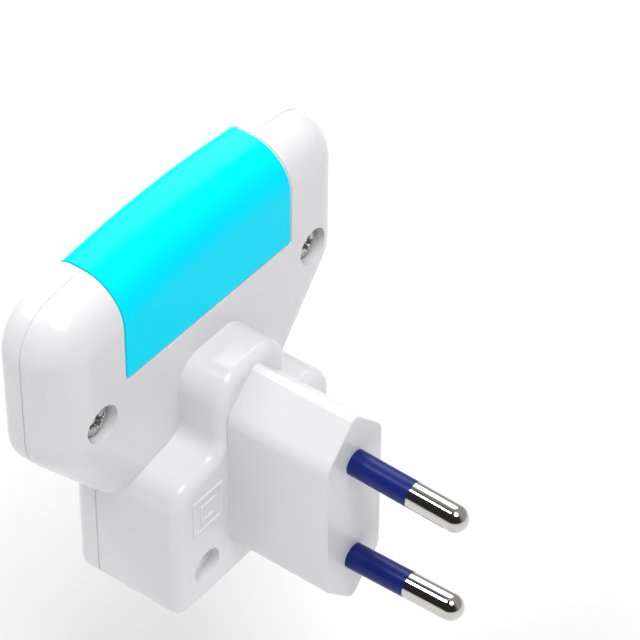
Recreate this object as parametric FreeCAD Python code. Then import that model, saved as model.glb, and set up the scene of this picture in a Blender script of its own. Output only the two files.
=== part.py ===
import FreeCAD, Part
import math
import os

V = FreeCAD.Vector

# Plug-in night light. Millimetres, +Z up, the wall socket towards +Y, the room towards -Y.
# The origin is the centre of the plug's engagement face, midway between the two pins.

# Driving dimensions: plug and pins, after the two-pin flat plug standard
pin_diameter = 4.0
pin_core_diameter = 3.0
pin_length = 19.0
pin_pitch_root = 18.6
pin_pitch_tip = 17.5
pin_embed = 15.0
pin_tail_diameter = 2.2
pin_tail_length = 5.2
sleeve_length = 10.0
sleeve_root_diameter = 3.4
sleeve_root_length = 3.0
collar_diameter = 4.6
collar_length = 2.0
plug_height = 35.3
plug_width = 12.6
plug_flat_height = 23.8
plug_depth = 17.6
plug_side_radius = 3.0
plug_edge_radius = 0.3
neck_width = 9.0
neck_height = 25.0
retainer_width = 10.8
retainer_height = 29.0
retainer_thickness = 1.6

# Driving dimensions: case
wall = 1.6
boss_depth = 7.7
back_shell_depth = 7.1
front_shell_depth = 4.5
head_half_width = 31.5
head_top_corner = 38.7
head_crown = 2.9
head_crown_radius = 150.0
head_end_bottom = 14.6
head_back_radius = 7.0
head_top_radius = 7.5
head_end_radius = 7.8
front_edge_radius = 2.4
parting_groove = 0.15
shoulder_angle = 50.5
body_half_width = 18.0
body_bottom = -20.0
body_corner_radius = 2.6
boss_edge_radius = 1.9
hump_half_width = 7.5
hump_top = 18.5
hump_corner_radius = 4.6
lobe_top_inner = 6.1
lobe_top_outer = 4.2
lobe_corner_radius = 4.4
lobe_inner_radius = 2.8

# Driving dimensions: light window
lens_half_width = 18.0
lens_back_bottom = 23.9
lens_front_bottom = 20.4
lens_corner_radius = 0.3
lens_rebate = 0.25
lens_flange_width = 0.8
lens_flange_thickness = 0.9
seam_gap = 0.12

# Driving dimensions: case screws, posts and relief
screw_x = 23.4
screw_z = 19.3
screw_recess_radius = 3.0
screw_recess_floor_radius = 2.85
screw_recess_depth = 2.6
screw_seat_thickness = 1.4
screw_head_diameter = 5.3
screw_head_height = 1.7
screw_diameter = 2.9
screw_length = 6.4
screw_end_wall = 0.9
boss_wall = 1.2
post_x = 11.3
post_z = -13.4
post_recess_radius = 2.8
post_recess_depth = 1.7
post_radius = 1.9
post_fit = 0.1
mark_x = 10.95
mark_z = -2.2
mark_outer = 6.7
mark_inner = 3.4
mark_line = 0.7
mark_height = 0.22
mark_edge_radius = 0.15

# Driving dimensions: rocker switch
switch_z = -6.5
bezel_half_length = 10.1
bezel_half_height = 6.3
bezel_thickness = 1.2
bezel_corner_radius = 0.9
switch_half_length = 9.35
switch_half_height = 5.5
switch_opening_half_length = 8.75
switch_opening_half_height = 4.7
switch_fit = 0.1
switch_floor_thickness = 1.2
rocker_pivot_depth = 3.4
rocker_end_radius = 8.6
rocker_half_height = 4.5
rocker_valley = 3.2
rocker_facet_angle = 10.0
rocker_skirt = 1.8
rocker_travel = 20.0
rocker_pin_radius = 1.0
rocker_pin_length = 0.75
running_fit = 0.06
dot_radius = 1.0
dot_offset = 1.9
dot_depth = 0.4
plunger_radius = 1.1
plunger_bore_radius = 1.2
plunger_bore_top = 1.7
plunger_tip_depth = 3.6
plunger_rod_length = 3.2
spring_wall = 0.3
spring_length = 1.9
blade_depth = 5.0
blade_thickness = 0.5
blade_half_length = 4.5
blade_half_width = 2.0
blade_travel = 14.0
contact_radius = 0.9
contact_height = 0.35
contact_x = 3.6
contact_gap = 0.12
floor_depth = 7.5
tab_thickness = 0.8
tab_half_width = 2.0
tab_length = 2.6
saddle_gap = 0.1
pivot_tab_x = 1.4
fixed_tab_x = 6.0

# Driving dimensions: board and components
board_thickness = 1.2
board_half_width = 14.5
board_bottom = 2.4
board_top = 22.6
board_standoff = 1.4
board_screw_x = 12.2
board_screw_z = 4.7
board_screw_head_diameter = 4.2
board_screw_head_height = 1.3
board_screw_diameter = 2.0
board_boss_radius = 2.0
led_radius = 1.5
led_flange_radius = 1.7
led_flange_thickness = 0.8
led_height = 4.4
led_pitch = 10.5
led_base_z = 24.2
led_lead_spacing = 1.27
lead_radius = 0.25
resistor_radius = 1.15
resistor_length = 6.2
resistor_x = (-12.8, 9.0, 12.8)
resistor_z = 16.6
diode_radius = 1.2
diode_length = 4.4
diode_x = (-6.4, -3.4, 3.4, 6.4)
diode_z = 18.4
film_capacitor_width = 10.0
film_capacitor_height = 8.0
film_capacitor_depth = 8.0
film_capacitor_z = 10.2
electrolytic_radius = 2.0
electrolytic_length = 7.0
electrolytic_x = -9.6
electrolytic_z = 9.1
part_standoff = 0.4
wire_radius = 0.65
tower_gap = 0.3
retainer_screw_z = 4.2
retainer_screw_diameter = 1.8
retainer_screw_length = 6.0
retainer_screw_head_diameter = 3.6
retainer_screw_head_height = 1.2

# Positions that follow from the driving dimensions
boss_y = -plug_depth
head_back_y = boss_y - boss_depth
parting_y = head_back_y - back_shell_depth
front_y = parting_y - front_shell_depth
front_inner_y = front_y + wall
boss_inner_y = boss_y - wall
bezel_y = front_y - bezel_thickness
rocker_y = bezel_y + rocker_pivot_depth
switch_floor_y = rocker_y + floor_depth
switch_back_y = switch_floor_y + switch_floor_thickness
blade_y = rocker_y + blade_depth + blade_thickness
board_front_y = front_inner_y + board_standoff
board_back_y = board_front_y + board_thickness
screw_seat_y = head_back_y - screw_recess_depth
screw_seat_end_y = screw_seat_y - screw_seat_thickness
half_travel = rocker_travel / 2
half_blade_travel = blade_travel / 2
pin_tilt = math.degrees(math.atan((pin_pitch_root - pin_pitch_tip) / 2 / pin_length))
join_tolerance = 0.001

shapes = {}


# Outline helpers: closed loops of straight runs and tangent arcs in the XZ plane

def corner_arc(before, corner, after, radius):
    to_before = (before - corner).normalize()
    to_after = (after - corner).normalize()
    half_angle = to_before.getAngle(to_after) / 2
    reach = radius / math.tan(half_angle)
    middle = (to_before + to_after).normalize()
    centre = corner + middle * (radius / math.sin(half_angle))
    start = corner + to_before * reach
    end = corner + to_after * reach
    top = centre - middle * radius
    return start, top, end


def rounded_loop(points, radii, y=0.0):
    corners = [V(x, y, z) for x, z in points]
    count = len(corners)
    arcs = []
    for index in range(count):
        before = corners[index - 1]
        after = corners[(index + 1) % count]
        arcs.append(corner_arc(before, corners[index], after, radii[index]))
    edges = []
    for index in range(count):
        start, top, end = arcs[index]
        following = arcs[(index + 1) % count][0]
        edges.append(Part.Arc(start, top, end).toShape())
        edges.append(Part.LineSegment(end, following).toShape())
    return Part.Wire(edges)


def prism(wire, y_start, y_end):
    face = Part.Face(wire)
    face.translate(V(0, y_start - face.CenterOfMass.y, 0))
    return face.extrude(V(0, y_end - y_start, 0))


def box(x0, x1, y0, y1, z0, z1):
    return Part.makeBox(x1 - x0, y1 - y0, z1 - z0, V(x0, y0, z0))


def centred_box(half_x, y0, y1, half_z, centre_z=0.0):
    return box(-half_x, half_x, y0, y1, centre_z - half_z, centre_z + half_z)


def rod_y(radius, x, z, y0, y1):
    return Part.makeCylinder(radius, y1 - y0, V(x, y0, z), V(0, 1, 0))


def edges_at_y(solid, y):
    return [e for e in solid.Edges if all(abs(v.Point.y - y) < 1e-4 for v in e.Vertexes)
            and abs(e.CenterOfMass.y - y) < 1e-4]


def round_edges_at_y(solid, y, radius):
    return solid.makeFillet(radius, edges_at_y(solid, y))


# Case outlines, each drawn once and shrunk by the same distance for the inside

def head_outline():
    drop = head_end_bottom - (body_bottom + 2 * body_corner_radius + wall)
    foot_z = head_end_bottom - 0.62 * drop
    foot_x = head_half_width - (head_end_bottom - foot_z) / math.tan(math.radians(shoulder_angle))
    points = [(-head_half_width, head_top_corner), (0, head_top_corner + head_crown),
              (head_half_width, head_top_corner), (head_half_width, head_end_bottom),
              (foot_x, foot_z), (-foot_x, foot_z), (-head_half_width, head_end_bottom)]
    radii = [head_top_radius, head_crown_radius, head_top_radius, head_end_radius,
             head_end_radius, head_end_radius, head_end_radius]
    return rounded_loop(points, radii)


def body_outline():
    w = body_half_width
    h = hump_half_width
    points = [(-w, body_bottom), (w, body_bottom), (w, lobe_top_outer), (h, lobe_top_inner),
              (h, hump_top), (-h, hump_top), (-h, lobe_top_inner), (-w, lobe_top_outer)]
    radii = [body_corner_radius, body_corner_radius, lobe_corner_radius, lobe_inner_radius,
             hump_corner_radius, hump_corner_radius, lobe_inner_radius, lobe_corner_radius]
    return rounded_loop(points, radii)


def shrunk(wire, inset):
    if inset == 0:
        return wire
    return wire.makeOffset2D(-inset)


def head_solid(inset):
    solid = prism(shrunk(head_outline(), inset), front_y + inset, head_back_y - inset)
    solid = round_edges_at_y(solid, head_back_y - inset, head_back_radius - inset)
    front_radius = front_edge_radius - inset
    if front_radius > 0.1:
        solid = round_edges_at_y(solid, front_y + inset, front_radius)
    return solid


def body_solid(inset):
    solid = prism(shrunk(body_outline(), inset), front_y + inset, boss_y - inset)
    ends = ((boss_y - inset, boss_edge_radius - inset),
            (front_y + inset, front_edge_radius - inset))
    for y, radius in ends:
        if radius > 0.1:
            solid = round_edges_at_y(solid, y, radius)
    return solid


def case_solid(inset):
    return head_solid(inset).fuse([body_solid(inset)], join_tolerance).removeSplitter()


def parting_ring():
    # A fine step that follows the outline where the two shells meet, half of it in each
    blocks = []
    cores = []
    for outline in (head_outline(), body_outline()):
        blocks.append(prism(outline, parting_y - parting_groove, parting_y + parting_groove))
        cores.append(prism(shrunk(outline, parting_groove), parting_y - wall, parting_y + wall))
    return blocks[0].fuse([blocks[1]], join_tolerance).cut(cores[0]).cut(cores[1])


def behind_parting():
    return box(-100, 100, parting_y, 100, -100, 100)


def before_parting():
    return box(-100, 100, -100, parting_y, -100, 100)


# Window opening: a tall block with a lower edge that differs on the room side and the wall side

def window_block(margin):
    half = lens_half_width + margin
    top = head_top_corner + 10
    radius = lens_corner_radius
    blocks = []
    sides = ((lens_back_bottom - margin, parting_y, head_back_y + 5),
             (lens_front_bottom - margin, front_y - 5, parting_y))
    for bottom, y0, y1 in sides:
        points = [(-half, bottom), (half, bottom), (half, top), (-half, top)]
        blocks.append(prism(rounded_loop(points, [radius] * 4), y0, y1))
    return blocks[0].fuse(blocks[1]).removeSplitter()


def window_opening():
    # The opening with its gap, and a shallow rebate round it in the outer surface
    rebate = window_block(seam_gap + lens_rebate).cut(head_solid(lens_rebate))
    return window_block(seam_gap).fuse(rebate)


def make_lens():
    inner = wall + seam_gap + lens_flange_thickness
    skin = head_solid(0).cut(head_solid(inner)).common(window_block(0))
    flange = head_solid(wall + seam_gap).cut(head_solid(inner)).common(window_block(lens_flange_width))
    shapes["lens"] = skin.fuse(flange).removeSplitter()


# Back shell: head and boss in one moulding, with the screw recesses and the relief mark

def screw_tower(x):
    outer = rod_y(screw_recess_radius + boss_wall, x, screw_z, screw_seat_end_y, head_back_y - 1)
    return outer


def screw_recess(x):
    cone = Part.makeCone(screw_recess_floor_radius, screw_recess_radius, screw_recess_depth,
                         V(x, screw_seat_y, screw_z), V(0, 1, 0))
    hole = rod_y(screw_diameter / 2 + post_fit, x, screw_z, screw_seat_end_y - 1, screw_seat_y + 1)
    return cone.fuse(hole)


def post_tower(x):
    return rod_y(post_recess_radius + boss_wall, x, post_z, switch_back_y + tower_gap, boss_y - 0.5)


def post_cut(x):
    recess = rod_y(post_recess_radius, x, post_z, boss_y - post_recess_depth, boss_y + 1)
    bore = rod_y(post_radius + post_fit, x, post_z, parting_y - 1, boss_y)
    return recess.fuse(bore)


def square_ring(size, line, x, z, y0, y1):
    half = size / 2
    outer = box(x - half, x + half, y0, y1, z - half, z + half)
    inner = box(x - half + line, x + half - line, y0 - 1, y1 + 1, z - half + line, z + half - line)
    return outer.cut(inner)


def relief_mark():
    top_y = boss_y + mark_height
    rings = [square_ring(size, mark_line, mark_x, mark_z, boss_y - 0.2, top_y)
             for size in (mark_outer, mark_inner)]
    rings = [round_edges_at_y(ring, top_y, mark_edge_radius) for ring in rings]
    return rings[0].fuse(rings[1])


def neck_block(margin, y0, y1):
    half_w = neck_width / 2 + margin
    half_h = neck_height / 2 + margin
    points = [(-half_w, -half_h), (half_w, -half_h), (half_w, half_h), (-half_w, half_h)]
    return prism(rounded_loop(points, [1.5] * 4), y0, y1)


def make_back_shell():
    outer = case_solid(0)
    shell = outer.cut(case_solid(wall)).common(behind_parting())
    shell = shell.cut(window_opening()).cut(parting_ring())
    towers = [screw_tower(screw_x), screw_tower(-screw_x), post_tower(post_x), post_tower(-post_x)]
    inside = outer.common(behind_parting())
    for tower in towers:
        shell = shell.fuse(tower.common(inside))
    shell = shell.fuse(relief_mark())
    for x in (screw_x, -screw_x):
        shell = shell.cut(screw_recess(x))
    for x in (post_x, -post_x):
        shell = shell.cut(post_cut(x))
    shell = shell.cut(neck_block(seam_gap, boss_inner_y - 1, boss_y + 1))
    shapes["back_shell"] = shell.removeSplitter()


# Front shell: room-side cover with the switch cut-out, screw bosses, posts and board bosses

def front_screw_boss(x):
    boss = rod_y(screw_diameter / 2 + boss_wall, x, screw_z, front_inner_y - 0.5, screw_seat_end_y)
    pilot = rod_y(screw_diameter / 2, x, screw_z, front_y + screw_end_wall, screw_seat_end_y + 1)
    return boss, pilot


def front_post(x):
    return rod_y(post_radius, x, post_z, front_inner_y - 0.5, boss_y - post_recess_depth)


def board_boss(x):
    boss = rod_y(board_boss_radius, x, board_screw_z, front_inner_y - 0.5, board_front_y)
    pilot = rod_y(board_screw_diameter / 2, x, board_screw_z, front_y + screw_end_wall, board_front_y + 1)
    return boss, pilot


def make_front_shell():
    shell = case_solid(0).cut(case_solid(wall)).common(before_parting())
    shell = shell.cut(window_opening()).cut(parting_ring())
    pilots = []
    for x in (screw_x, -screw_x):
        boss, pilot = front_screw_boss(x)
        shell = shell.fuse(boss)
        pilots.append(pilot)
    for x in (board_screw_x, -board_screw_x):
        boss, pilot = board_boss(x)
        shell = shell.fuse(boss)
        pilots.append(pilot)
    for x in (post_x, -post_x):
        shell = shell.fuse(front_post(x))
    for pilot in pilots:
        shell = shell.cut(pilot)
    opening = centred_box(switch_half_length + switch_fit, front_y - 1, front_inner_y + 1,
                          switch_half_height + switch_fit, switch_z)
    shapes["front_shell"] = shell.cut(opening).removeSplitter()


# Cross-recessed screws, head towards +Y

def cross_screw(x, z, seat_y, diameter, length, head_diameter, head_height):
    head = rod_y(head_diameter / 2, x, z, seat_y, seat_y + head_height)
    head = head.makeFillet(head_height * 0.45, edges_at_y(head, seat_y + head_height))
    shank = rod_y(diameter / 2, x, z, seat_y - length * 0.82, seat_y)
    tip = Part.makeCone(diameter * 0.3, diameter / 2, length * 0.18, V(x, seat_y - length, z), V(0, 1, 0))
    screw = head.fuse(shank).fuse(tip)
    reach = head_diameter * 0.3
    blade = head_diameter * 0.075
    top = seat_y + head_height
    floor = top - head_height * 0.6
    slot_x = box(x - reach, x + reach, floor, top + 1, z - blade, z + blade)
    slot_z = box(x - blade, x + blade, floor, top + 1, z - reach, z + reach)
    return screw.cut(slot_x).cut(slot_z).removeSplitter()


def make_case_screws():
    screws = [cross_screw(x, screw_z, screw_seat_y, screw_diameter, screw_length,
                          screw_head_diameter, screw_head_height) for x in (screw_x, -screw_x)]
    shapes["case_screws"] = Part.makeCompound(screws)


def make_board_screws():
    length = board_back_y - front_y - screw_end_wall - 0.3
    screws = [cross_screw(x, board_screw_z, board_back_y, board_screw_diameter, length,
                          board_screw_head_diameter, board_screw_head_height)
              for x in (board_screw_x, -board_screw_x)]
    shapes["board_screws"] = Part.makeCompound(screws)


# Plug: six-sided body with a neck through the case, held by a plate inside

def plug_outline():
    half_w = plug_width / 2
    half_flat = plug_flat_height / 2
    sharp_apex = half_flat + half_w
    apex_radius = (sharp_apex - plug_height / 2) / (math.sqrt(2) - 1)
    side_radius = plug_side_radius
    points = [(-half_w, -half_flat), (0, -sharp_apex), (half_w, -half_flat),
              (half_w, half_flat), (0, sharp_apex), (-half_w, half_flat)]
    radii = [side_radius, apex_radius, side_radius, side_radius, apex_radius, side_radius]
    return rounded_loop(points, radii)


def pin_frame(solid, side):
    # Pins are drawn along +Y from the engagement face, then moved to their root and tilted inward
    solid = solid.copy()
    solid.rotate(V(0, 0, 0), V(1, 0, 0), -side * pin_tilt)
    solid.translate(V(0, 0, side * pin_pitch_root / 2))
    return solid


def pin_profile(margin):
    core = Part.makeCylinder(pin_core_diameter / 2 + margin, sleeve_length + pin_embed,
                             V(0, -pin_embed, 0), V(0, 1, 0))
    return core


def make_pin(side):
    radius = pin_diameter / 2
    bare_length = pin_length - radius - sleeve_length
    bare = Part.makeCylinder(radius, bare_length, V(0, sleeve_length, 0), V(0, 1, 0))
    tip = Part.makeSphere(radius, V(0, pin_length - radius, 0))
    collar_start = V(0, collar_length - pin_embed, 0)
    collar = Part.makeCylinder(collar_diameter / 2, collar_length, collar_start, V(0, 1, 0))
    tail_length = pin_tail_length + plug_depth - pin_embed
    tail_start = V(0, -pin_embed - tail_length, 0)
    tail = Part.makeCylinder(pin_tail_diameter / 2, tail_length, tail_start, V(0, 1, 0))
    pin = pin_profile(0).fuse(bare).fuse(tip).fuse(collar).fuse(tail)
    return pin_frame(pin.removeSplitter(), side)


def make_sleeve(side):
    # Full size outside the plug, and a thinner root that the plug is moulded round
    outer = Part.makeCylinder(pin_diameter / 2, sleeve_length, V(0, 0, 0), V(0, 1, 0))
    root_start = V(0, -sleeve_root_length, 0)
    root = Part.makeCylinder(sleeve_root_diameter / 2, sleeve_root_length, root_start, V(0, 1, 0))
    outer = outer.fuse(root).removeSplitter()
    return pin_frame(outer.cut(pin_profile(0)), side)


def make_plug():
    body = prism(plug_outline(), boss_y, 0)
    body = round_edges_at_y(body, 0, plug_edge_radius)
    neck = neck_block(0, boss_inner_y, boss_y + 0.5)
    body = body.fuse(neck)
    screws = []
    for side in (1, -1):
        pin = make_pin(side)
        sleeve = make_sleeve(side)
        body = body.cut(pin).cut(sleeve)
        name = "upper" if side > 0 else "lower"
        shapes["pin_" + name] = pin
        shapes["sleeve_" + name] = sleeve
        screw_z_side = side * retainer_screw_z
        pilot_end_y = boss_inner_y - retainer_thickness + retainer_screw_length
        body = body.cut(rod_y(retainer_screw_diameter / 2, 0, screw_z_side, boss_inner_y - 1, pilot_end_y))
        screw = cross_screw(0, 0, 0, retainer_screw_diameter, retainer_screw_length,
                            retainer_screw_head_diameter, retainer_screw_head_height)
        screw.rotate(V(0, 0, 0), V(0, 0, 1), 180)
        screw.translate(V(0, boss_inner_y - retainer_thickness, screw_z_side))
        screws.append(screw)
    shapes["plug_body"] = body.removeSplitter()
    half_w = retainer_width / 2
    half_h = retainer_height / 2
    points = [(-half_w, -half_h), (half_w, -half_h), (half_w, half_h), (-half_w, half_h)]
    plate = prism(rounded_loop(points, [2.0] * 4), boss_inner_y - retainer_thickness, boss_inner_y)
    for side in (1, -1):
        plate = plate.cut(rod_y(retainer_screw_diameter / 2 + post_fit, 0, side * retainer_screw_z,
                                boss_inner_y - 5, boss_y))
        tail = Part.makeCylinder(pin_tail_diameter / 2 + 0.15, 20, V(0, -pin_embed - 15, 0), V(0, 1, 0))
        plate = plate.cut(pin_frame(tail, side))
    shapes["plug_retainer"] = plate
    shapes["retainer_screws"] = Part.makeCompound(screws)


# Switch: frame, rocker with its dot, spring and plunger, see-saw blade and two terminals.
# Local coordinates: x along the rocker, u out of the switch towards the room from the pivot.

def local_y(u):
    return rocker_y - u


def make_switch_frame():
    half_l = bezel_half_length
    half_h = bezel_half_height
    points = [(-half_l, switch_z - half_h), (half_l, switch_z - half_h),
              (half_l, switch_z + half_h), (-half_l, switch_z + half_h)]
    bezel = prism(rounded_loop(points, [bezel_corner_radius] * 4), bezel_y, front_y)
    bezel = round_edges_at_y(bezel, bezel_y, 0.5)
    housing = centred_box(switch_half_length, front_y, switch_back_y, switch_half_height, switch_z)
    cavity = centred_box(switch_opening_half_length, bezel_y - 1, switch_floor_y,
                         switch_opening_half_height, switch_z)
    frame = bezel.fuse(housing).cut(cavity)
    bore = Part.makeCylinder(rocker_pin_radius + running_fit, 2 * switch_half_height,
                             V(0, rocker_y, switch_z - switch_half_height), V(0, 0, 1))
    frame = frame.cut(bore)
    for x in (pivot_tab_x, -fixed_tab_x):
        slot = box(x - tab_thickness / 2, x + tab_thickness / 2, switch_floor_y - 1, switch_back_y + 1,
                   switch_z - tab_half_width, switch_z + tab_half_width)
        frame = frame.cut(slot)
    shapes["switch_frame"] = frame.removeSplitter()


def rest_tilt(solid, angle, y):
    solid = solid.copy()
    solid.rotate(V(0, y, switch_z), V(0, 0, 1), angle)
    return solid


def rocker_blank():
    rise = math.tan(math.radians(rocker_facet_angle))
    far = rocker_end_radius + 1
    corners = [(-far, rocker_valley + far * rise), (0, rocker_valley), (far, rocker_valley + far * rise),
               (far, -rocker_skirt), (-far, -rocker_skirt)]
    loop = [V(x, local_y(u), switch_z - rocker_half_height) for x, u in corners]
    face = Part.Face(Part.makePolygon(loop + [loop[0]]))
    block = face.extrude(V(0, 0, 2 * rocker_half_height))
    drum = Part.makeCylinder(rocker_end_radius, 2 * rocker_half_height,
                             V(0, rocker_y, switch_z - rocker_half_height), V(0, 0, 1))
    return block.common(drum)


def rocker_dot_solid():
    rise = math.radians(rocker_facet_angle)
    normal = V(math.sin(rise), -math.cos(rise), 0)
    centre = V(-dot_offset * math.cos(rise), local_y(rocker_valley + dot_offset * math.sin(rise)), switch_z)
    return Part.makeCylinder(dot_radius, dot_depth, centre - normal * dot_depth, normal)


def make_rocker():
    blank = rocker_blank()
    top_edges = [e for e in blank.Edges if e.CenterOfMass.y < local_y(rocker_valley) - 0.3]
    blank = blank.makeFillet(0.45, top_edges)
    axle = Part.makeCylinder(rocker_pin_radius, 2 * (rocker_half_height + rocker_pin_length),
                             V(0, rocker_y, switch_z - rocker_half_height - rocker_pin_length), V(0, 0, 1))
    bore = rod_y(plunger_bore_radius, 0, switch_z, local_y(plunger_bore_top), local_y(-rocker_skirt - 1))
    dot = rocker_dot_solid()
    rocker = blank.fuse(axle).cut(bore).cut(dot).removeSplitter()
    shapes["rocker"] = rest_tilt(rocker, -half_travel, rocker_y)
    shapes["rocker_dot"] = rest_tilt(dot, -half_travel, rocker_y)


def make_plunger():
    tip = Part.makeSphere(plunger_radius, V(0, local_y(-plunger_tip_depth), switch_z))
    rod = rod_y(plunger_radius, 0, switch_z, local_y(-plunger_tip_depth + plunger_rod_length),
                local_y(-plunger_tip_depth))
    shapes["rocker_plunger"] = rest_tilt(tip.fuse(rod).removeSplitter(), -half_travel, rocker_y)
    rod_top_y = local_y(-plunger_tip_depth + plunger_rod_length)
    bore_top_y = local_y(plunger_bore_top)
    outer = rod_y(plunger_radius, 0, switch_z, bore_top_y, rod_top_y)
    inner = rod_y(plunger_radius - spring_wall, 0, switch_z, bore_top_y - 1, rod_top_y + 1)
    shapes["rocker_spring"] = rest_tilt(outer.cut(inner), -half_travel, rocker_y)


def make_blade():
    strip = centred_box(blade_half_length, blade_y - blade_thickness, blade_y, blade_half_width, switch_z)
    contact = rod_y(contact_radius, -contact_x, switch_z, blade_y, blade_y + contact_height)
    shapes["contact_blade"] = rest_tilt(strip.fuse(contact), half_blade_travel, blade_y)


def tab(x, top_y):
    return box(x - tab_thickness / 2, x + tab_thickness / 2, top_y, switch_back_y + tab_length,
               switch_z - tab_half_width, switch_z + tab_half_width)


def make_terminals():
    knife = Part.makePolygon([V(-0.5, switch_floor_y, switch_z - tab_half_width),
                              V(0, blade_y + saddle_gap, switch_z - tab_half_width),
                              V(0.5, switch_floor_y, switch_z - tab_half_width),
                              V(-0.5, switch_floor_y, switch_z - tab_half_width)])
    ridge = Part.Face(knife).extrude(V(0, 0, 2 * tab_half_width))
    foot_top = switch_floor_y - 0.5
    foot = box(-1.0, pivot_tab_x + tab_thickness / 2, foot_top, switch_floor_y,
               switch_z - tab_half_width, switch_z + tab_half_width)
    shapes["terminal_pivot"] = ridge.fuse(foot).fuse(tab(pivot_tab_x, foot_top)).removeSplitter()
    lowest = blade_y + math.sin(math.radians(half_blade_travel)) * (contact_x + contact_radius)
    pad_y = lowest + contact_height + contact_gap
    foot = box(-fixed_tab_x - tab_thickness / 2, -contact_x + contact_radius, foot_top, switch_floor_y,
               switch_z - tab_half_width, switch_z + tab_half_width)
    pad = rod_y(contact_radius, -contact_x, switch_z, pad_y, foot_top + 0.1)
    terminal = foot.fuse(tab(-fixed_tab_x, foot_top)).fuse(pad)
    shapes["terminal_fixed"] = terminal.removeSplitter()


# Board with its components on the wall side

def make_board():
    points = [(-board_half_width, board_bottom), (board_half_width, board_bottom),
              (board_half_width, board_top), (-board_half_width, board_top)]
    board = prism(rounded_loop(points, [1.0] * 4), board_front_y, board_back_y)
    for x in (board_screw_x, -board_screw_x):
        board = board.cut(rod_y(board_screw_diameter / 2 + 0.1, x, board_screw_z,
                                board_front_y - 1, board_back_y + 1))
    shapes["led_board"] = board


def tube_along(points, radius):
    # Straight runs joined by tangent arcs, swept with a round section
    edges = []
    bends = []
    start = points[0]
    for index in range(1, len(points) - 1):
        corner = points[index]
        to_before = (points[index - 1] - corner)
        to_after = (points[index + 1] - corner)
        shorter = min(to_before.Length, to_after.Length)
        half_turn = (math.pi - to_before.getAngle(to_after)) / 2
        bend = 0.45 * shorter / math.tan(half_turn)
        bends.append(bend)
        entry, top, leave = corner_arc(points[index - 1], corner, points[index + 1], bend)
        edges.append(Part.LineSegment(start, entry).toShape())
        edges.append(Part.Arc(entry, top, leave).toShape())
        start = leave
    edges.append(Part.LineSegment(start, points[-1]).toShape())
    path = Part.Wire(edges)
    first = (points[1] - points[0]).normalize()
    section = Part.Wire([Part.makeCircle(radius, points[0], first)])
    return path.makePipeShell([section], True, False), path.Length, bends


def make_leds():
    leds = []
    y = board_back_y + led_flange_radius + part_standoff
    for index in (-1, 0, 1):
        x = index * led_pitch
        flange = Part.makeCylinder(led_flange_radius, led_flange_thickness, V(x, y, led_base_z), V(0, 0, 1))
        barrel = Part.makeCylinder(led_radius, led_height - led_radius, V(x, y, led_base_z), V(0, 0, 1))
        dome = Part.makeSphere(led_radius, V(x, y, led_base_z + led_height - led_radius))
        led = flange.fuse(barrel).fuse(dome)
        for side in (-1, 1):
            lead_x = x + side * led_lead_spacing / 2
            turn_z = board_top - 1.2
            points = [V(lead_x, board_back_y, turn_z), V(lead_x, y, turn_z), V(lead_x, y, led_base_z + 0.3)]
            led = led.fuse(tube_along(points, lead_radius)[0])
        leds.append(led.removeSplitter())
    shapes["leds"] = Part.makeCompound(leds)


def axial_part(x, z, radius, length):
    # A body along Z on two leads bent down to the board
    y = board_back_y + radius + part_standoff
    body = Part.makeCylinder(radius, length, V(x, y, z - length / 2), V(0, 0, 1))
    body = body.makeFillet(radius * 0.3, body.Edges)
    for side in (-1, 1):
        reach = side * (length / 2 + 1.6)
        points = [V(x, y, z + side * (length / 2 - 0.5)), V(x, y, z + reach), V(x, board_back_y, z + reach)]
        body = body.fuse(tube_along(points, lead_radius)[0])
    return body.removeSplitter()


def make_components():
    shapes["resistors"] = Part.makeCompound(
        [axial_part(x, resistor_z, resistor_radius, resistor_length) for x in resistor_x])
    shapes["bridge_diodes"] = Part.makeCompound(
        [axial_part(x, diode_z, diode_radius, diode_length) for x in diode_x])
    y0 = board_back_y + part_standoff
    half_w = film_capacitor_width / 2
    film = box(-half_w, half_w, y0, y0 + film_capacitor_depth,
               film_capacitor_z - film_capacitor_height / 2, film_capacitor_z + film_capacitor_height / 2)
    film = film.makeFillet(0.6, [e for e in film.Edges if e.CenterOfMass.y > y0 + 1])
    for side in (-1, 1):
        film = film.fuse(rod_y(lead_radius, side * (half_w - 1.2), film_capacitor_z, board_back_y, y0 + 0.5))
    shapes["dropper_capacitor"] = film
    y = y0 + electrolytic_radius
    start = electrolytic_x - electrolytic_length / 2
    can_start = V(start, y, electrolytic_z)
    can = Part.makeCylinder(electrolytic_radius, electrolytic_length, can_start, V(1, 0, 0))
    can = can.makeFillet(0.4, can.Edges)
    shapes["smoothing_capacitor"] = can


# Internal wires: chosen points, joined by the tangent arcs of tube_along

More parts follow.
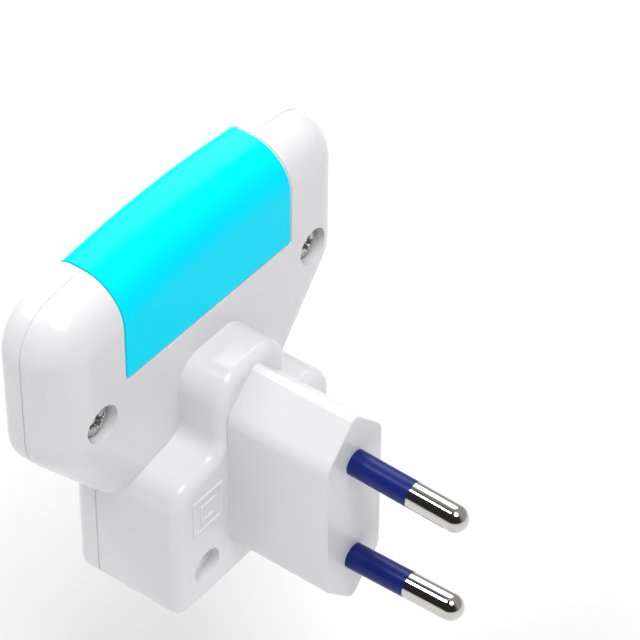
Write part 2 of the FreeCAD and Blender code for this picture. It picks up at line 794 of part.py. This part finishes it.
def make_wires():
    tail_side = pin_tail_diameter / 2 - 0.2
    tail_y = boss_inner_y - retainer_thickness - 1.2
    tail_z = pin_pitch_root / 2 - tail_y * math.tan(math.radians(pin_tilt))
    tab_top = switch_z + tab_half_width
    tab_y = switch_back_y + tab_length / 2
    board_z = board_bottom + 2.0
    routes = {
        "wire_live": [V(-tail_side, tail_y, tail_z), V(-3.4, tail_y - 0.2, tail_z - 1.4),
                      V(-4.4, tail_y - 0.3, 4.2), V(-5.3, tail_y - 0.6, 0.4),
                      V(-fixed_tab_x, tab_y, tab_top + 2.4), V(-fixed_tab_x, tab_y, tab_top)],
        "wire_switched": [V(pivot_tab_x, tab_y, tab_top), V(pivot_tab_x, tab_y, tab_top + 2.6),
                          V(3.2, tab_y - 2.0, 1.8), V(5.4, board_back_y + 3.0, board_z),
                          V(5.4, board_back_y, board_z)],
        "wire_neutral": [V(tail_side, tail_y, -tail_z), V(4.0, tail_y - 0.2, -tail_z + 0.6),
                         V(7.4, tail_y - 0.6, -6.0), V(10.4, tail_y - 2.2, -2.0),
                         V(9.2, tail_y - 5.2, 2.0), V(8.4, board_back_y + 2.6, board_z),
                         V(8.4, board_back_y, board_z)],
    }
    section = math.pi * wire_radius ** 2
    for name, points in routes.items():
        tube, length, bends = tube_along(points, wire_radius)
        ratio = tube.Volume / (length * section)
        print("%s length %.1f mm, volume over section times length %.3f" % (name, length, ratio))
        print("%s bend radii %s mm" % (name, ", ".join("%.1f" % bend for bend in bends)))
        shapes[name] = tube


def write_nodes():
    os.makedirs("parts", exist_ok=True)
    for name, shape in shapes.items():
        solids = shape.Solids
        print("%-20s solids %d  volume %9.2f  valid %s" % (name, len(solids), shape.Volume, shape.isValid()))
        shape.exportStep("parts/" + name + ".step")


make_lens()
make_back_shell()
make_front_shell()
make_case_screws()
make_plug()
make_switch_frame()
make_rocker()
make_plunger()
make_blade()
make_terminals()
make_board()
make_board_screws()
make_leds()
make_components()
make_wires()
write_nodes()
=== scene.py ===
import math
import bpy
import bmesh
from mathutils import Matrix, Vector


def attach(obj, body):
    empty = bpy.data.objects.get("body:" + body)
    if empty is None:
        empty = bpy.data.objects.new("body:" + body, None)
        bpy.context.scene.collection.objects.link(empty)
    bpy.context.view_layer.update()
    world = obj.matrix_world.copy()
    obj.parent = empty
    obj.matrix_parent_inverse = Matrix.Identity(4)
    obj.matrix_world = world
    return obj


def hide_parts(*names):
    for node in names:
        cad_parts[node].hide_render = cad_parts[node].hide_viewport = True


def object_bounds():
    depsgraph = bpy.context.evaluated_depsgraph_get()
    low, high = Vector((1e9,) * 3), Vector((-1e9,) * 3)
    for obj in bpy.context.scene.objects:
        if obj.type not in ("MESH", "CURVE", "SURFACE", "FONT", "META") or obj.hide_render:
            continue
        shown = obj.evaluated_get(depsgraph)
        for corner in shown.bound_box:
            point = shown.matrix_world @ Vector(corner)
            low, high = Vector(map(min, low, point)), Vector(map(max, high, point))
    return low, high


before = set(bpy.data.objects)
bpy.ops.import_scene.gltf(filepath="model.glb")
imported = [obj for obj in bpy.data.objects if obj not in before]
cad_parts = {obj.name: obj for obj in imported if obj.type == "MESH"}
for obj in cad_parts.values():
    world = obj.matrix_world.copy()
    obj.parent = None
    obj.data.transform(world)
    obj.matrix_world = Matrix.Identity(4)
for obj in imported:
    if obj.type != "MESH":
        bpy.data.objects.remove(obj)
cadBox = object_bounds()
mm = 0.001
print("frame loaded:", len(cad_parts), "nodes")


# Photo camera: fitted to the plug's standard sizes, for an image taken as 640 x 640
view = {
    "azimuth": 126.965,
    "elevation": 42.092,
    "roll": 0.592,
    "distance": 460.6 * mm,
    "focalPixels": 3282.0,
    "imagePixels": 640.0,
    "originPixel": (354.16, 509.15),
    "sensor": 36.0,
    "clipNear": 0.01,
    "clipFar": 20.0,
}


def addCamera():
    azimuth = math.radians(view["azimuth"])
    elevation = math.radians(view["elevation"])
    roll = math.radians(view["roll"])
    flat = math.cos(elevation)
    back = Vector((math.sin(azimuth) * flat, -math.cos(azimuth) * flat, math.sin(elevation)))
    level = Vector((math.cos(azimuth), math.sin(azimuth), 0.0))
    upright = back.cross(level)
    right = level * math.cos(roll) + upright * math.sin(roll)
    up = upright * math.cos(roll) - level * math.sin(roll)
    perPixel = view["distance"] / view["focalPixels"]
    half = view["imagePixels"] / 2
    aside = (view["originPixel"][0] - half) * perPixel
    below = (view["originPixel"][1] - half) * perPixel
    place = back * view["distance"] - right * aside + up * below
    data = bpy.data.cameras.new("photoCamera")
    data.sensor_width = view["sensor"]
    data.lens = view["focalPixels"] / view["imagePixels"] * view["sensor"]
    data.clip_start = view["clipNear"]
    data.clip_end = view["clipFar"]
    camera = bpy.data.objects.new("photoCamera", data)
    bpy.context.scene.collection.objects.link(camera)
    turn = Matrix((right, up, back)).transposed()
    camera.matrix_world = Matrix.Translation(place) @ turn.to_4x4()
    bpy.context.scene.camera = camera


addCamera()
print("camera set")


# Soft studio: a pale floor, an even sky, one small hard panel, one broad panel behind and one above
studio = {
    "floorDrop": 0.045,
    "floorReach": 3.0,
    "floorShade": 0.68,
    "floorGlow": 0.18,
    "floorRoughness": 0.9,
    "skyStrength": 0.4,
    "skyGlossNear": 0.03,
    "skyGlossFar": 0.42,
    "skyTurn": (-0.25, 0.2),
    "lights": [
        ("keyPanel", (0.228, -0.357, 0.676), (0.0, -0.02, 0.0), 0.24, 1.45),
        ("rimPanel", (-0.47, -0.36, 0.54), (0.0, -0.02, 0.0), 0.5, 2.5),
        ("topPanel", (0.1, 0.2, 0.68), (0.0, -0.02, 0.0), 0.4, 3.1),
    ],
}


def addLight(name, place, target, size, power):
    data = bpy.data.lights.new(name, "AREA")
    data.shape = "DISK"
    data.size = size
    data.energy = power
    lamp = bpy.data.objects.new(name, data)
    bpy.context.scene.collection.objects.link(lamp)
    aim = Vector(target) - Vector(place)
    lamp.location = place
    lamp.rotation_euler = aim.to_track_quat("-Z", "Y").to_euler()


def addSky():
    # Diffuse light comes evenly; polished metal sees a darker room on the camera's side
    world = bpy.data.worlds.new("studioSky")
    bpy.context.scene.world = world
    world.use_nodes = True
    nodes = world.node_tree.nodes
    links = world.node_tree.links
    backdrop = nodes["Background"]
    direction = nodes.new("ShaderNodeTexCoord")
    parts = nodes.new("ShaderNodeSeparateXYZ")
    links.new(direction.outputs["Generated"], parts.inputs[0])
    room = nodes.new("ShaderNodeMapRange")
    room.inputs["From Min"].default_value = studio["skyTurn"][0]
    room.inputs["From Max"].default_value = studio["skyTurn"][1]
    room.inputs["To Min"].default_value = studio["skyGlossFar"]
    room.inputs["To Max"].default_value = studio["skyGlossNear"]
    links.new(parts.outputs["X"], room.inputs["Value"])
    ray = nodes.new("ShaderNodeLightPath")
    pick = nodes.new("ShaderNodeMix")
    pick.data_type = "FLOAT"
    pick.inputs["A"].default_value = studio["skyStrength"]
    links.new(ray.outputs["Is Glossy Ray"], pick.inputs["Factor"])
    links.new(room.outputs["Result"], pick.inputs["B"])
    links.new(pick.outputs["Result"], backdrop.inputs["Strength"])
    backdrop.inputs["Color"].default_value = (1.0, 1.0, 1.0, 1.0)


def addStudio():
    addSky()
    for entry in studio["lights"]:
        addLight(*entry)
    reach = studio["floorReach"]
    level = cadBox[0][2] - studio["floorDrop"]
    signs = ((-1, -1), (1, -1), (1, 1), (-1, 1))
    corners = [(reach * across, reach * along, level) for across, along in signs]
    mesh = bpy.data.meshes.new("studioFloor")
    mesh.from_pydata(corners, [], [(0, 1, 2, 3)])
    floor = bpy.data.objects.new("studioFloor", mesh)
    bpy.context.scene.collection.objects.link(floor)
    floorPaint = bpy.data.materials.new("paleFloor")
    floorPaint.use_nodes = True
    shader = floorPaint.node_tree.nodes["Principled BSDF"]
    shade = studio["floorShade"]
    shader.inputs["Base Color"].default_value = (shade, shade, shade, 1.0)
    shader.inputs["Roughness"].default_value = studio["floorRoughness"]
    shader.inputs["Specular IOR Level"].default_value = 0.0
    shader.inputs["Emission Color"].default_value = (1.0, 1.0, 1.0, 1.0)
    shader.inputs["Emission Strength"].default_value = studio["floorGlow"]
    floor.data.materials.append(floorPaint)
    bpy.context.scene.view_settings.view_transform = "Standard"


addStudio()
print("studio set")


# Small helpers for node groups
def newGroup(name, inputs, outputs):
    group = bpy.data.node_groups.new(name, "ShaderNodeTree")
    for label, kind, value in inputs:
        socket = group.interface.new_socket(name=label, in_out="INPUT", socket_type="NodeSocket" + kind)
        socket.default_value = value
    for label, kind in outputs:
        group.interface.new_socket(name=label, in_out="OUTPUT", socket_type="NodeSocket" + kind)
    return group, group.nodes.new("NodeGroupInput"), group.nodes.new("NodeGroupOutput")


def addMath(group, operation, first, second, third=None):
    node = group.nodes.new("ShaderNodeMath")
    node.operation = operation
    for index, value in enumerate((first, second, third)):
        if value is None:
            continue
        if isinstance(value, (int, float)):
            node.inputs[index].default_value = value
        else:
            group.links.new(value, node.inputs[index])
    return node.outputs[0]


def addNoise(group, vector, scale, detail):
    node = group.nodes.new("ShaderNodeTexNoise")
    node.inputs["Detail"].default_value = detail
    group.links.new(vector, node.inputs["Vector"])
    if isinstance(scale, (int, float)):
        node.inputs["Scale"].default_value = scale
    else:
        group.links.new(scale, node.inputs["Scale"])
    return node.outputs["Fac"]


# Values that both shared effects use, as noise scale and detail
patterns = {
    "broadScale": 70.0,
    "broadDetail": 2.0,
    "fineDetail": 3.0,
    "patchScale": 220.0,
    "streakDetail": 2.0,
    "bumpDistance": 0.1 * mm,
}


# Shared effect: the faint unevenness of a moulded skin
def buildMouldSkin():
    inputs = [("Scale", "Float", 900.0), ("Roughness", "Float", 0.2), ("Spread", "Float", 0.05),
              ("Shade", "Float", 0.03), ("Colour", "Color", (0.8, 0.8, 0.8, 1.0))]
    outputs = [("Colour", "Color"), ("Roughness", "Float"), ("Height", "Float")]
    group, entry, leave = newGroup("mouldSkin", inputs, outputs)
    place = group.nodes.new("ShaderNodeTexCoord").outputs["Object"]
    fine = addNoise(group, place, entry.outputs["Scale"], patterns["fineDetail"])
    broad = addNoise(group, place, patterns["broadScale"], patterns["broadDetail"])
    centred = addMath(group, "SUBTRACT", broad, 0.5)
    rough = addMath(group, "MULTIPLY_ADD", centred, entry.outputs["Spread"], entry.outputs["Roughness"])
    shade = addMath(group, "MULTIPLY_ADD", centred, entry.outputs["Shade"], 1.0)
    tint = group.nodes.new("ShaderNodeVectorMath")
    tint.operation = "SCALE"
    group.links.new(entry.outputs["Colour"], tint.inputs[0])
    group.links.new(shade, tint.inputs["Scale"])
    group.links.new(tint.outputs[0], leave.inputs["Colour"])
    group.links.new(rough, leave.inputs["Roughness"])
    group.links.new(fine, leave.inputs["Height"])
    return group


# Shared effect: short hairline marks that run mostly one way, for handled or drawn surfaces
def buildHairlines():
    inputs = [("Along", "Vector", (1.0, 0.04, 1.0)), ("Scale", "Float", 2600.0),
              ("Cover", "Float", 0.7)]
    outputs = [("Mask", "Float")]
    group, entry, leave = newGroup("hairlines", inputs, outputs)
    place = group.nodes.new("ShaderNodeTexCoord").outputs["Object"]
    stretch = group.nodes.new("ShaderNodeVectorMath")
    stretch.operation = "MULTIPLY"
    group.links.new(place, stretch.inputs[0])
    group.links.new(entry.outputs["Along"], stretch.inputs[1])
    streaks = addNoise(group, stretch.outputs[0], entry.outputs["Scale"], patterns["streakDetail"])
    patches = addNoise(group, place, patterns["patchScale"], patterns["streakDetail"])
    kept = addMath(group, "GREATER_THAN", streaks, entry.outputs["Cover"])
    mask = addMath(group, "MULTIPLY", kept, patches)
    group.links.new(mask, leave.inputs["Mask"])
    return group


mouldSkin = buildMouldSkin()
hairlines = buildHairlines()
print("shared effects built")


# Materials. Each entry of looks is one finish, with the values that a user would change
looks = {
    "caseWhite": {"colour": (0.80, 0.795, 0.815), "roughness": 0.21, "spread": 0.05, "shade": 0.02,
                  "bump": 0.03},
    "plugWhite": {"colour": (0.79, 0.785, 0.805), "roughness": 0.26, "spread": 0.05, "shade": 0.02,
                  "bump": 0.04},
    # lensCyan glow is a painted glow: the lens gives off faint cyan light of its own, though no lamp in
    # the scene lights it from inside
    "lensCyan": {"colour": (0.0, 0.76, 0.97), "roughness": 0.2, "spread": 0.05, "shade": 0.03,
                 "bump": 0.02, "specular": 0.05, "glow": (0.0, 0.6, 0.95), "glowStrength": 0.12},
    "sleeveBlue": {"colour": (0.008, 0.017, 0.165), "roughness": 0.3, "spread": 0.1, "shade": 0.1,
                   "bump": 0.08, "specular": 0.2, "marks": 0.74, "markColour": (0.07, 0.1, 0.26)},
    "pinNickel": {"colour": (0.62, 0.60, 0.57), "roughness": 0.09, "spread": 0.06, "metallic": 1.0,
                  "bump": 0.03, "marks": 0.72, "markColour": (0.42, 0.4, 0.38)},
    "screwSteel": {"colour": (0.5, 0.5, 0.49), "roughness": 0.26, "spread": 0.12, "metallic": 1.0,
                   "bump": 0.06},
    "switchIvory": {"colour": (0.74, 0.71, 0.63), "roughness": 0.33, "spread": 0.06, "shade": 0.03,
                    "bump": 0.08, "scale": 2400.0},
    "rockerIvory": {"colour": (0.78, 0.75, 0.66), "roughness": 0.25, "spread": 0.06, "shade": 0.03,
                    "bump": 0.04},
    "dotRed": {"colour": (0.5, 0.03, 0.04), "roughness": 0.4, "shade": 0.1},
    "springSteel": {"colour": (0.55, 0.55, 0.57), "roughness": 0.25, "metallic": 1.0},
    "contactBrass": {"colour": (0.7, 0.5, 0.22), "roughness": 0.25, "metallic": 1.0, "marks": 0.66,
                     "markColour": (0.4, 0.27, 0.1)},
    "boardGreen": {"colour": (0.02, 0.17, 0.06), "roughness": 0.35, "shade": 0.25, "scale": 3000.0,
                   "bump": 0.1},
    "ledClear": {"colour": (0.45, 0.7, 0.95), "roughness": 0.06, "shade": 0.05},
    "resistorTan": {"colour": (0.6, 0.42, 0.22), "roughness": 0.4, "shade": 0.2, "bump": 0.1},
    "diodeBlack": {"colour": (0.02, 0.02, 0.02), "roughness": 0.45, "bump": 0.1},
    "capacitorYellow": {"colour": (0.7, 0.42, 0.05), "roughness": 0.35, "shade": 0.1, "bump": 0.08},
    "capacitorSleeve": {"colour": (0.02, 0.03, 0.09), "roughness": 0.3},
    "wireRed": {"colour": (0.45, 0.02, 0.02), "roughness": 0.4, "bump": 0.05},
    "wireBlue": {"colour": (0.02, 0.08, 0.4), "roughness": 0.4, "bump": 0.05},
    "fibreGrey": {"colour": (0.33, 0.32, 0.29), "roughness": 0.65, "shade": 0.3, "scale": 1800.0,
                  "bump": 0.2},
}


def mouldedFinish(name):
    look = looks[name]
    material = bpy.data.materials.new(name)
    material.use_nodes = True
    nodes = material.node_tree.nodes
    links = material.node_tree.links
    shader = nodes["Principled BSDF"]
    skin = nodes.new("ShaderNodeGroup")
    skin.node_tree = mouldSkin
    skin.inputs["Scale"].default_value = look.get("scale", 900.0)
    skin.inputs["Roughness"].default_value = look["roughness"]
    skin.inputs["Spread"].default_value = look.get("spread", 0.06)
    skin.inputs["Shade"].default_value = look.get("shade", 0.04)
    skin.inputs["Colour"].default_value = (*look["colour"], 1.0)
    colour = skin.outputs["Colour"]
    if "marks" in look:
        lines = nodes.new("ShaderNodeGroup")
        lines.node_tree = hairlines
        lines.inputs["Cover"].default_value = look["marks"]
        blend = nodes.new("ShaderNodeMix")
        blend.data_type = "RGBA"
        links.new(lines.outputs["Mask"], blend.inputs["Factor"])
        links.new(colour, blend.inputs[6])
        blend.inputs[7].default_value = (*look["markColour"], 1.0)
        colour = blend.outputs[2]
    relief = nodes.new("ShaderNodeBump")
    relief.inputs["Strength"].default_value = look.get("bump", 0.04)
    relief.inputs["Distance"].default_value = patterns["bumpDistance"]
    links.new(skin.outputs["Height"], relief.inputs["Height"])
    links.new(colour, shader.inputs["Base Color"])
    links.new(skin.outputs["Roughness"], shader.inputs["Roughness"])
    links.new(relief.outputs["Normal"], shader.inputs["Normal"])
    shader.inputs["Metallic"].default_value = look.get("metallic", 0.0)
    shader.inputs["Specular IOR Level"].default_value = look.get("specular", 0.5)
    # Painted glow: this emission makes the surface give off light of its own, as on the lens, though it is
    # no lamp
    if "glow" in look:
        shader.inputs["Emission Color"].default_value = (*look["glow"], 1.0)
        shader.inputs["Emission Strength"].default_value = look["glowStrength"]
    return material


finishes = {name: mouldedFinish(name) for name in looks}
print("finishes built:", len(finishes))

nodeFinish = {
    "front_shell": "caseWhite", "back_shell": "caseWhite", "lens": "lensCyan",
    "plug_body": "plugWhite", "plug_retainer": "fibreGrey", "retainer_screws": "screwSteel",
    "pin_upper": "pinNickel", "pin_lower": "pinNickel",
    "sleeve_upper": "sleeveBlue", "sleeve_lower": "sleeveBlue",
    "case_screws": "screwSteel", "switch_frame": "switchIvory", "rocker": "rockerIvory",
    "rocker_dot": "dotRed", "rocker_spring": "springSteel", "rocker_plunger": "contactBrass",
    "contact_blade": "contactBrass", "terminal_pivot": "contactBrass", "terminal_fixed": "contactBrass",
    "led_board": "boardGreen", "board_screws": "screwSteel", "leds": "ledClear",
    "resistors": "resistorTan", "bridge_diodes": "diodeBlack",
    "dropper_capacitor": "capacitorYellow", "smoothing_capacitor": "capacitorSleeve",
    "wire_live": "wireRed", "wire_switched": "wireRed", "wire_neutral": "wireBlue",
}
for node, finish in nodeFinish.items():
    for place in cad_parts[node].material_slots:
        place.material = finishes[finish]
# Coloured light that the lens would throw on the white case is left off, as in the photo
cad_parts["lens"].visible_diffuse = False
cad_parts["lens"].visible_glossy = False
print("CAD nodes finished:", len(nodeFinish))


# Screws: one modelled screw for each set, placed along a row by Geometry Nodes
screwSets = {
    "caseScrewSet": {
        "replaces": "case_screws", "start": (-23.4, -27.9, 19.3), "step": (46.8, 0.0, 0.0), "count": 2,
        "headDiameter": 5.3, "headHeight": 1.7, "recessReach": 0.62, "recessWidth": 0.17,
        "recessDepth": 0.62, "shankDiameter": 2.75, "length": 6.4, "pitch": 1.15, "flip": False, "seed": 4,
    },
    "boardScrewSet": {
        "replaces": "board_screws", "start": (-12.2, -32.7, 4.7), "step": (24.4, 0.0, 0.0), "count": 2,
        "headDiameter": 4.2, "headHeight": 1.3, "recessReach": 0.62, "recessWidth": 0.18,
        "recessDepth": 0.6, "shankDiameter": 1.9, "length": 3.0, "pitch": 0.85, "flip": False, "seed": 7,
    },
    "retainerScrewSet": {
        "replaces": "retainer_screws", "start": (0.0, -20.8, -4.2), "step": (0.0, 0.0, 8.4), "count": 2,
        "headDiameter": 3.6, "headHeight": 1.2, "recessReach": 0.62, "recessWidth": 0.2,
        "recessDepth": 0.6, "shankDiameter": 1.7, "length": 6.0, "pitch": 0.8, "flip": True, "seed": 9,
    },
}
# Counts, and shares of the head's radius or height or of the shank's length
screwMesh = {
    "spokes": 96, "headRings": 34, "shankSpokes": 32, "ringsPerTurn": 10, "threadDepth": 0.16,
    "domeDrop": 0.72, "domePower": 2.6, "rimStart": 0.93, "rimDrop": 0.35, "rimHeight": 0.12,
    "underside": 0.95, "neckSwell": 1.02,
    "slotFlank": 0.55, "slotRunOut": 0.72, "middleDip": (0.12, 0.34),
    "tipStart": 0.78, "tipTaper": 0.75, "threadRunIn": (0.02, 0.12),
}


def smoothStep(low, high, value):
    share = min(1.0, max(0.0, (value - low) / (high - low)))
    return share * share * (3 - 2 * share)


def headLift(spec, x, z):
    # Height of the head's skin above the seat, as a domed pan with a tapered cross cut in it
    radius = spec["headDiameter"] / 2
    share = math.hypot(x, z) / radius
    fall = screwMesh["domeDrop"] * share ** screwMesh["domePower"]
    dome = spec["headHeight"] * math.sqrt(max(0.0, 1 - fall))
    rimStart = screwMesh["rimStart"]
    if share > rimStart:
        dome *= 1 - screwMesh["rimDrop"] * ((share - rimStart) / (1 - rimStart)) ** 2
    near = min(abs(x), abs(z)) / radius
    far = max(abs(x), abs(z)) / radius
    across = 1 - smoothStep(spec["recessWidth"] * screwMesh["slotFlank"], spec["recessWidth"], near)
    along = 1 - smoothStep(spec["recessReach"] * screwMesh["slotRunOut"], spec["recessReach"], far)
    middle = 1 - smoothStep(*screwMesh["middleDip"], share)
    cut = spec["recessDepth"] * spec["headHeight"] * max(across * along, middle)
    return dome - cut


def ringLoop(mesh, count, radius, height):
    loop = []
    for index in range(count):
        angle = 2 * math.pi * index / count
        r = radius(angle)
        loop.append(mesh.verts.new((r * math.cos(angle), height(angle), r * math.sin(angle))))
    return loop


def bridgeLoops(mesh, lower, upper):
    count = len(lower)
    for index in range(count):
        after = (index + 1) % count
        mesh.faces.new((lower[index], lower[after], upper[after], upper[index]))


def modelScrew(name, spec):
    mesh = bmesh.new()
    radius = spec["headDiameter"] / 2
    spokes = screwMesh["spokes"]
    previous = None
    rings = screwMesh["headRings"]
    for ring in range(1, rings + 1):
        share = ring / rings
        r = radius * share
        loop = ringLoop(mesh, spokes, lambda a: r,
                        lambda a: headLift(spec, r * math.cos(a), r * math.sin(a)))
        if previous:
            bridgeLoops(mesh, previous, loop)
        else:
            centre = mesh.verts.new((0, headLift(spec, 0, 0), 0))
            for index in range(spokes):
                mesh.faces.new((centre, loop[index], loop[(index + 1) % spokes]))
        previous = loop
    under = ((radius, screwMesh["rimHeight"] * spec["headHeight"]),
             (radius * screwMesh["underside"], 0.0),
             (spec["shankDiameter"] / 2 * screwMesh["neckSwell"], 0.0))
    for r, y in under:
        loop = ringLoop(mesh, spokes, lambda a: r, lambda a: y)
        bridgeLoops(mesh, previous, loop)
        previous = loop
    core = spec["shankDiameter"] / 2
    turns = spec["length"] / spec["pitch"]
    steps = int(turns * screwMesh["ringsPerTurn"])
    above = None
    for step in range(steps + 1):
        depth = spec["length"] * step / steps
        taper = 1.0 - smoothStep(screwMesh["tipStart"], 1.0, step / steps) * screwMesh["tipTaper"]
        cut = screwMesh["threadDepth"] * smoothStep(*screwMesh["threadRunIn"], step / steps)

        def threadRadius(angle):
            phase = (depth / spec["pitch"] - angle / (2 * math.pi)) % 1.0
            ridge = 1 - abs(2 * phase - 1)
            return core * taper * (1 - cut * (1 - ridge))

        loop = ringLoop(mesh, screwMesh["shankSpokes"], threadRadius, lambda a: -depth)
        if above is not None:
            bridgeLoops(mesh, above, loop)
        above = loop
    mesh.faces.new(above)
    if spec["flip"]:
        for vertex in mesh.verts:
            vertex.co.y = -vertex.co.y
    bmesh.ops.recalc_face_normals(mesh, faces=mesh.faces)
    for face in mesh.faces:
        face.smooth = True
    bmesh.ops.scale(mesh, vec=(mm, mm, mm), verts=mesh.verts)
    data = bpy.data.meshes.new(name)
    mesh.to_mesh(data)
    mesh.free()
    return data


def buildScrewRow():
    tree = bpy.data.node_groups.new("screwRow", "GeometryNodeTree")
    face = tree.interface
    face.new_socket(name="Geometry", in_out="INPUT", socket_type="NodeSocketGeometry")
    face.new_socket(name="Count", in_out="INPUT", socket_type="NodeSocketInt")
    face.new_socket(name="Start", in_out="INPUT", socket_type="NodeSocketVector")
    face.new_socket(name="Step", in_out="INPUT", socket_type="NodeSocketVector")
    face.new_socket(name="Seed", in_out="INPUT", socket_type="NodeSocketInt")
    face.new_socket(name="Finish", in_out="INPUT", socket_type="NodeSocketMaterial")
    face.new_socket(name="Geometry", in_out="OUTPUT", socket_type="NodeSocketGeometry")
    nodes = tree.nodes
    links = tree.links
    entry = nodes.new("NodeGroupInput")
    leave = nodes.new("NodeGroupOutput")
    row = nodes.new("GeometryNodeMeshLine")
    links.new(entry.outputs["Count"], row.inputs["Count"])
    links.new(entry.outputs["Start"], row.inputs["Start Location"])
    links.new(entry.outputs["Step"], row.inputs["Offset"])
    turn = nodes.new("FunctionNodeRandomValue")
    turn.data_type = "FLOAT_VECTOR"
    turn.inputs[0].default_value = (0.0, 0.0, 0.0)
    turn.inputs[1].default_value = (0.0, 1.5, 0.0)
    links.new(entry.outputs["Seed"], turn.inputs["Seed"])
    copies = nodes.new("GeometryNodeInstanceOnPoints")
    links.new(row.outputs["Mesh"], copies.inputs["Points"])
    links.new(entry.outputs["Geometry"], copies.inputs["Instance"])
    links.new(turn.outputs["Value"], copies.inputs["Rotation"])
    real = nodes.new("GeometryNodeRealizeInstances")
    links.new(copies.outputs["Instances"], real.inputs["Geometry"])
    dress = nodes.new("GeometryNodeSetMaterial")
    links.new(real.outputs["Geometry"], dress.inputs["Geometry"])
    links.new(entry.outputs["Finish"], dress.inputs["Material"])
    links.new(dress.outputs["Geometry"], leave.inputs["Geometry"])
    return tree


def settleModifier(piece, modifier, values):
    for item in modifier.node_group.interface.items_tree:
        if item.item_type == "SOCKET" and item.in_out == "INPUT" and item.name in values:
            modifier[item.identifier] = values[item.name]
    evaluated = piece.evaluated_get(bpy.context.evaluated_depsgraph_get())
    plain = bpy.data.meshes.new_from_object(evaluated)
    piece.modifiers.remove(modifier)
    piece.data = plain


def addScrewSet(name, spec, tree):
    piece = bpy.data.objects.new(name, modelScrew(name, spec))
    bpy.context.scene.collection.objects.link(piece)
    modifier = piece.modifiers.new("screwRow", "NODES")
    modifier.node_group = tree
    settleModifier(piece, modifier, {
        "Count": spec["count"],
        "Start": tuple(v * mm for v in spec["start"]),
        "Step": tuple(v * mm for v in spec["step"]),
        "Seed": spec["seed"],
        "Finish": finishes["screwSteel"],
    })
    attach(piece, "case")
    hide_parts(spec["replaces"])


screwRow = buildScrewRow()
for setName, setSpec in screwSets.items():
    addScrewSet(setName, setSpec, screwRow)
print("screw sets placed:", len(screwSets))
